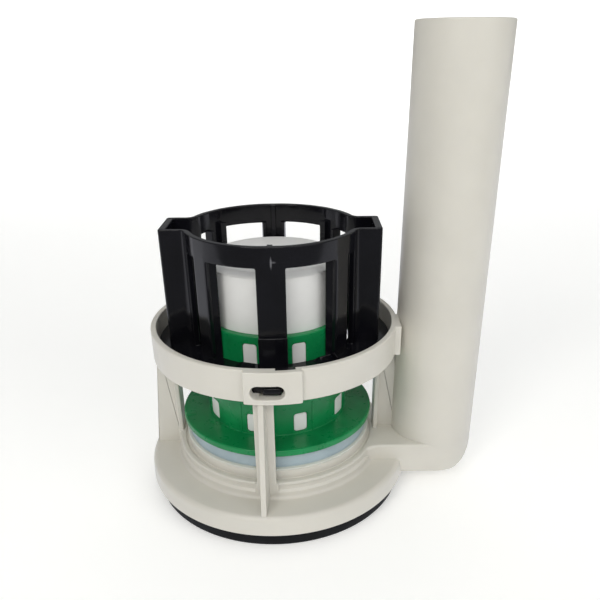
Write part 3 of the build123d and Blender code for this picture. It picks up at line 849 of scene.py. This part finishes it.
def cageLocks(turn):
    # Prisms on plans bent round Z: the front bar's thick foot, then the tab's lower and upper
    # part and the bump, which lock in the ring. Each is its inner and outer radius, middle
    # and span in degrees, plan corner, steps, low, high and edge.
    c = cageLook
    front, span = c["bars"][0]
    tab, bump = (math.degrees(c[k + "Width"] / c[k + "At"]) for k in ("tab", "bump"))
    low, notchLow = c["flangeHigh"] - c["sink"], bodyLook["notchLow"]
    root, reach, (tabLow, tabOver) = c["lockRoot"], c["tabReach"], c["tabStart"]
    foot = (c["radius"] - c["wall"] + c["footTuck"], c["radius"] + c["stepDepth"])
    blocks = [
        (*foot, front, span, 0.4, 10, low, c["stepTop"], 0.35),
        (root, c["flange"], c["tabMiddle"], tab, 0.3, 8, low, notchLow + tabOver, 0.3),
        (root, reach, c["tabMiddle"], tab, 0.4, 8, notchLow + tabLow, c["tabTop"], 0.4),
        (root, reach, c["bumpMiddle"], bump, 0.5, 8, cageLow + c["bumpRise"], c["bumpTop"], 0.5)]
    return [prism(arcLoop(a, b, middle + turn, wide, corner, steps), z0, z1, edge)
            for a, b, middle, wide, corner, steps, z0, z1, edge in blocks]


def guideCage():
    # the flange is a rectangle of (radius, z) turned about Z
    c = cageLook
    flange = lathe(roundedOutline([
        (c["flangeBore"], cageLow, 0.3), (c["flange"], cageLow, 0.3), (c["flange"], c["flangeHigh"], 0.4),
        (c["flangeBore"], c["flangeHigh"], 0.5)]))
    shapes = [cageWall(), flange]
    for turn in (0, 180):
        shapes += cageBars(turn) + cageLocks(turn)
    return shapes


makePiece("guideCage", guideCage(), mouldedBlackAbs, "fixed_valve", "guide_cage")


# Seal, a soft ring with a thin lip on the seat

sealLook = {
    "bore": 27.6, "body": 38.0, "lipHeight": 0.9, "lipSlope": 0.3, "recess": 2.4, "recessRadius": 33.2,
}


def seatSeal():
    # outline of (radius, z) turned about Z: recessed underside, flat sealing face, thin lip
    # that runs out over the seat, and the thick body
    s = sealLook
    lipTop, recessTop = seatTop + s["lipHeight"], seatTop + s["recess"]
    outline = roundedOutline([
        (s["bore"], recessTop, 0.2), (s["recessRadius"], recessTop, 0.3),
        (s["recessRadius"] + s["recess"] / 2, seatTop, 0.3), (sealLip, seatTop, 0.3), (sealLip, lipTop, 0.4),
        (s["body"], lipTop + s["lipSlope"], 0.5), (s["body"], sealTop, 0.7), (s["bore"], sealTop, 0.2)])
    return [lathe(outline)]


makePiece("seatSeal", seatSeal(), mouldedGreySilicone, "float", "seat_seal")


# Retainer: disc and straight sleeve with two rows of windows

retainerLook = {
    "discHigh": 34.9, "discTuck": 0.2, "sleeve": 29.4, "wall": 1.2, "edge": 0.35, "footRound": 0.4,
    "rimTop": 77.5, "rimInner": 26.65, "rimThick": 1.4, "rimTuck": 0.6,
    # windows: (angle either side of the middle plane, width) and the two rows' heights; each
    # has a block of cells that reaches this many degrees to both sides
    "turn": -88.0, "windows": ((18.6, 5.7), (61.2, 7.5)), "windowRound": 1.2, "reach": 18.5,
    "lowWindow": (35.9, 44.0), "highWindow": (59.0, 74.3), "rowUnder": 0.15, "rowOver": 0.8, "rowStep": 0.9,
    # thin upright beads on the sleeve
    "beads": 28.8, "beadTop": 48.0, "bead": 0.22, "beadSpan": 1.4, "beadSink": 0.3,
    # raised mark on the disc, low enough to clear the cage's flange at full lift
    "markAngle": -163.5, "markInner": 35.5, "markOuter": 39.8, "markHalf": 2.0, "markRise": 0.2,
    "markSink": 0.5,
}


def sleeveWindows():
    # (angle, width, low, high) of every window, in pairs either side of the middle plane
    k = retainerLook
    turns = []
    for a, width in k["windows"]:
        turns += [((turn + sign * a) % 360, width) for turn in (0, 180) for sign in (-1, 1)]
    rows = (k["lowWindow"], k["highWindow"])
    return [(angle, width, *row) for row in rows for angle, width in sorted(turns)]


def retainerSleeve():
    # Cylinder over (angle, z) with two rows of windows, (r cos t, r sin t, z), where r grows
    # by the rounding footRound at the disc.
    k = retainerLook
    edge, reach = k["edge"], k["reach"]
    windows = sleeveWindows()
    columns = [np.linspace(m - reach, m + reach, 19) for m in sorted({w[0] for w in windows})]
    plain = [(a[-1] + b[0]) / 2 for a, b in zip(columns[:-1], columns[1:])]
    columns = np.unique(np.round(np.concatenate(columns + [plain, [0, 360]]), 5))
    bands = {low: np.linspace(low - edge - k["rowUnder"], high + edge + k["rowOver"],
                              round((high - low) / k["rowStep"]) + 2)
             for low, high in (k["lowWindow"], k["highWindow"])}
    lowRows, highRows = bands.values()
    rows = np.concatenate([k["discHigh"] + np.array([-1.0, 0.0, 0.1, 0.25]), lowRows,
                           np.linspace(lowRows[-1], highRows[0], 6)[1:-1], highRows, [k["rimTop"] - edge]])
    holes = []
    for middle, width, low, high in windows:
        holes.append({"columns": (middle - reach, middle + reach), "rows": (bands[low][0], bands[low][-1]),
                      "middle": (middle, (low + high) / 2), "width": width + 2 * edge,
                      "height": high - low + 2 * edge, "round": k["windowRound"] + edge,
                      "stretch": 1 / (math.radians(1) * k["sleeve"]), "rings": 9})
    uv, faces = sheetWithHoles(columns, rows, holes)
    r = k["sleeve"] + roundIn(uv[:, 1] - k["discHigh"], k["footRound"])
    t = np.radians(uv[:, 0])
    points, faces, _ = welded(np.stack([r * np.cos(t), r * np.sin(t), uv[:, 1]], 1), faces)
    return rotated(thickened(points, faces, k["wall"], edge), k["turn"])


def sealRetainer():
    # disc and rim are rectangles of (radius, z) turned about Z, the mark is a rounded plate,
    # and the beads are prisms on plans bent round Z
    k = retainerLook
    bore = k["sleeve"] - k["wall"] - k["discTuck"]
    disc = lathe(roundedOutline([
        (bore, sealTop, 0.3), (discRadius, sealTop, 0.5), (discRadius - 0.1, k["discHigh"], 0.7),
        (bore, k["discHigh"], 0.3)]))
    a, b, y = k["markInner"], k["markOuter"], k["markHalf"]
    plate = roundedOutline([(a, -y, 0.3), (b, -y, 0.3), (b, y, 0.3), (a, y, 0.3)])
    mark = prism(plate, k["discHigh"] - k["markSink"], k["discHigh"] + k["markRise"], 0.15)
    rimLow, rimHigh, rimOuter = k["rimTop"] - k["rimThick"], k["rimTop"] - hair, k["sleeve"] - k["rimTuck"]
    rim = lathe(roundedOutline([
        (k["rimInner"], rimLow, 0.2), (rimOuter, rimLow, 0.1), (rimOuter, rimHigh, 0.05),
        (k["rimInner"], rimHigh, 0.3)]))
    shapes = [disc, rotated(mark, k["markAngle"]), retainerSleeve(), rim]
    for turn in (0, 180):
        for sign in (-1, 1):
            bead = arcLoop(k["sleeve"] - k["beadSink"], k["sleeve"] + k["bead"],
                           k["turn"] + turn + sign * k["beads"], k["beadSpan"], 0.15, 4)
            shapes.append(prism(bead, k["discHigh"] - k["beadSink"], k["beadTop"], 0.2))
    return shapes


makePiece("sealRetainer", sealRetainer(), mouldedGreenPolypropylene, "float",
          "seal_retainer")


# Float: canister, cap and base

floatLook = {
    "radius": 26.5, "wall": 1.4, "fit": 0.1, "lidGap": 0.06,
    # noses that stand in the sleeve's windows
    "nose": 29.1, "noseGap": 0.12, "noseEdge": 0.3, "noseSink": 0.5,
    # lid
    "lidLow": 98.9, "lidTop": 100.75, "lidFlat": 24.0, "lidPlate": 1.6, "lidLip": 0.15, "plug": 2.4,
    "plugWall": 1.2,
    # base
    "baseLow": 25.5, "plate": 1.8, "hub": 27.5, "spigotHigh": 6.0,
}


def lockNose(angle, width, low, high):
    # Block that stands in a window: rows of (across, z) on (r cos t, r sin t, z), whose half
    # width is that of the window less the rounding of its corners
    n = floatLook
    edge, r = n["noseEdge"], retainerLook["windowRound"] - n["noseEdge"]
    half, tall = (size / 2 - n["noseGap"] - edge for size in (width, high - low))
    bend = np.sin(np.radians(np.linspace(0, 90, 6))) * r
    rows = np.concatenate([-(tall - r + bend[::-1]), np.linspace(-(tall - r), tall - r, 5)[1:-1],
                           tall - r + bend])
    reach = half - roundIn(tall - abs(rows), r)
    across = np.linspace(-1, 1, 9)[None, :] * reach[:, None]
    t = np.radians(angle + retainerLook["turn"]) + across / n["nose"]
    z = np.broadcast_to(((low + high) / 2 + rows)[:, None], t.shape)
    points = np.stack([n["nose"] * np.cos(t), n["nose"] * np.sin(t), z], -1).reshape(-1, 3)
    return thickened(points, gridFaces(len(rows), 9), n["nose"] - n["radius"] + n["noseSink"], edge)


def floatCanister():
    # wall: rectangle of (radius, z) turned about Z
    n = floatLook
    inner, top = n["radius"] - n["wall"], n["lidLow"] - n["lidGap"]
    wall = lathe(roundedOutline([
        (inner, sealTop, 0.1), (n["radius"], sealTop, 0.1), (n["radius"], top, 0.25), (inner, top, 0.2)]))
    return [wall] + [lockNose(*window) for window in sleeveWindows()]


def floatCap():
    # outline of (radius, z) turned about Z: plate with a bevelled edge, whose hollow plug
    # goes into the canister
    n = floatLook
    plug = n["radius"] - n["wall"] - n["fit"]
    inside, under, low = plug - n["plugWall"], n["lidTop"] - n["lidPlate"], n["lidLow"]
    return [lathe(roundedOutline([
        (pole, under, 0), (inside, under, 0.3), (inside, low - n["plug"], 0.3), (plug, low - n["plug"], 0.3),
        (plug, low, 0.1), (n["radius"], low, 0.15), (n["radius"], low + n["lidLip"], 0.1),
        (n["lidFlat"], n["lidTop"], 0.8), (pole, n["lidTop"], 0)]))]


def floatBase():
    # outline of (radius, z) turned about Z: plate, hub that carries the seal, and a hollow
    # spigot that goes up into the canister
    n = floatLook
    low, top = n["baseLow"], n["baseLow"] + n["plate"]
    spigot, spigotTop = n["radius"] - n["wall"] - n["fit"], sealTop + n["spigotHigh"]
    outline = roundedOutline([
        (pole, low, 0), (baseRadius, low, 0.5), (baseRadius, top, 0.3), (n["hub"], top, 0.3),
        (n["hub"], sealTop, 0.2), (spigot, sealTop, 0.2), (spigot, spigotTop, 0.4),
        (spigot - n["wall"], spigotTop, 0.4), (spigot - n["wall"], top, 0.6), (pole, top, 0)])
    return [lathe(outline)]


for name, shapes, node in (
        ("floatCanister", floatCanister(), "float_canister"),
        ("floatCap", floatCap(), "float_cap"),
        ("floatBase", floatBase(), "float_base")):
    makePiece(name, shapes, mouldedWhitePolypropylene, "float", node)


# Floor, light and camera, all in metres

# floor: y of its front and of its bend's start, the bend's radius, half its width; card: y
# of its front and back, half its width and how far it lies under the floor
floorLook = {"front": -4.0, "bendStart": 2.2, "bend": 1.2, "wallTop": 5.0, "half": 6.0, "glow": 0.3}
cardLook = {"front": -0.164, "back": 3.0, "half": 3.0, "drop": 0.001, "glow": 1.0}


def stageSheet(name, points, faces, materialName, values):
    # sheet of the stage with a plain material, whose shader takes the values
    material = bpy.data.materials.new(materialName)
    material.use_nodes = True
    shader = material.node_tree.nodes["Principled BSDF"]
    for socket, value in values.items():
        shader.inputs[socket].default_value = value
    mesh = bpy.data.meshes.new(name)
    mesh.from_pydata(points, [], faces)
    mesh.shade_smooth()
    mesh.materials.append(material)
    return addObject(name, mesh)


def studioFloor():
    # flat floor that turns up into a wall far behind: profile (y, z) of a straight run, a
    # quarter circle and an upright, drawn out along x
    f = floorLook
    bend = arc((f["bendStart"], f["bend"]), f["bend"], -90, 0, 24)
    wallTop = (f["bendStart"] + f["bend"], f["wallTop"])
    outline = np.concatenate([[(f["front"], 0.0)], bend, [wallTop]])
    points = np.concatenate([np.insert(outline, 0, x, axis=1) for x in (-f["half"], f["half"])])
    faces = [face[::-1] for face in gridFaces(2, len(outline))]
    floor = stageSheet("studioFloor", points.tolist(), faces, "paleFloor", {
        "Base Color": linear("#efefed"), "Roughness": 0.8, "Emission Color": linear("#ffffff"),
        "Emission Strength": f["glow"]})
    floor.visible_glossy = False


def floorCard():
    # Glowing sheet just under the floor that only reflections see. Its front edge shows in
    # glossy walls, which makes them bright at both sides and dark in the middle.
    k = cardLook
    corners = [(x, y, -k["drop"]) for x, y in (
        (-k["half"], k["front"]), (k["half"], k["front"]), (k["half"], k["back"]), (-k["half"], k["back"]))]
    card = stageSheet("floorCard", corners, [(0, 1, 2, 3)], "glowingCard", {
        "Base Color": linear("#000000"), "Emission Color": linear("#f6f7ff"), "Emission Strength": k["glow"]})
    for kind in ("camera", "diffuse", "shadow", "transmission", "volume_scatter"):
        setattr(card, "visible_" + kind, False)


def floorCard():
    # glowing sheet just under the floor that only reflections see: the floor's front edge
    # then shows in glossy walls, bright at both sides and dark in the middle
    corners = [(-3.0, -0.164, -0.001), (3.0, -0.164, -0.001), (3.0, 3.0, -0.001), (-3.0, 3.0, -0.001)]
    mesh = bpy.data.meshes.new("floorCard")
    mesh.from_pydata(corners, [], [(0, 1, 2, 3)])
    card = bpy.data.objects.new("floorCard", mesh)
    bpy.context.scene.collection.objects.link(card)
    material = bpy.data.materials.new("glowingCard")
    material.use_nodes = True
    shader = material.node_tree.nodes["Principled BSDF"]
    shader.inputs["Base Color"].default_value = linear("#000000")
    shader.inputs["Emission Color"].default_value = linear("#f6f7ff")
    shader.inputs["Emission Strength"].default_value = 1.0
    mesh.materials.append(material)
    card.visible_camera = False
    card.visible_diffuse = False
    card.visible_shadow = False
    card.visible_transmission = False
    card.visible_volume_scatter = False


# place, target, size, watts and tint of each light
studioLights = {
    "keyLight": ((-0.5, -0.93, 0.85), (0, 0, 0.08), (0.4, 0.4), 3.9, "#fffdf8"),
    "frontLight": ((0.0, -1.1, 0.95), (0, 0, 0.05), (0.5, 0.3), 3.4, "#fffdf8"),
    "rightLight": ((0.8, -0.75, 0.65), (0, 0, 0.08), (0.8, 0.8), 3.0, "#ffffff"),
    "topLight": ((0.0, -0.3, 1.5), (0, 0, 0.05), (1.0, 1.0), 3.0, "#ffffff"),
    "wallLight": ((0, 1.0, 1.9), (0, 3.2, 0.9), (3.0, 1.0), 55.0, "#ffffff"),
}


def softLight(name, place, target, size, power, tint):
    # oblong lamp that faces its target
    lamp = bpy.data.lights.new(name, "AREA")
    lamp.shape = "RECTANGLE"
    lamp.size, lamp.size_y = size
    lamp.energy = power
    lamp.color = linear(tint)[:3]
    light = addObject(name, lamp)
    light.location = place
    light.rotation_euler = (Vector(target) - Vector(place)).to_track_quat("-Z", "Y").to_euler()


def studioWorld():
    # even, slightly cool light from all sides
    world = bpy.data.worlds.new("studioWorld")
    bpy.context.scene.world = world
    world.use_nodes = True
    background = world.node_tree.nodes["Background"]
    background.inputs["Color"].default_value = linear("#f2f4f6")
    background.inputs["Strength"].default_value = 0.3


# where the photograph was taken from: metres, degrees, a lens in millimetres for a 36 mm
# sensor, and shifts as shares of the picture's width
cameraView = {
    "place": (0.01366, -0.24302, 0.17329), "yaw": 0.61, "pitch": 26.46, "roll": -0.35,
    "lens": 38.24, "sensor": 36.0, "shiftX": -0.0244, "shiftY": 0.1050, "nearest": 0.01,
}


def studioCamera():
    # forward = (sin yaw cos pitch, cos yaw cos pitch, -sin pitch), then rolled about itself
    v = cameraView
    yaw, pitch, roll = (math.radians(v[k]) for k in ("yaw", "pitch", "roll"))
    forward = Vector((math.sin(yaw) * math.cos(pitch), math.cos(yaw) * math.cos(pitch), -math.sin(pitch)))
    right = Vector((math.cos(yaw), -math.sin(yaw), 0))
    up = right.cross(forward)
    rolledRight = right * math.cos(roll) + up * math.sin(roll)
    rolledUp = up * math.cos(roll) - right * math.sin(roll)
    turn = Matrix((rolledRight, rolledUp, -forward)).transposed()
    data = bpy.data.cameras.new("studioCamera")
    data.sensor_width = v["sensor"]
    data.lens = v["lens"]
    data.shift_x, data.shift_y = v["shiftX"], v["shiftY"]
    data.clip_start = v["nearest"]
    camera = addObject("studioCamera", data)
    camera.matrix_world = Matrix.Translation(v["place"]) @ turn.to_4x4()
    bpy.context.scene.camera = camera


studioFloor()
floorCard()
studioWorld()
for name, settings in studioLights.items():
    softLight(name, *settings)
studioCamera()
bpy.context.scene.view_settings.view_transform = "Standard"
print("stage set")
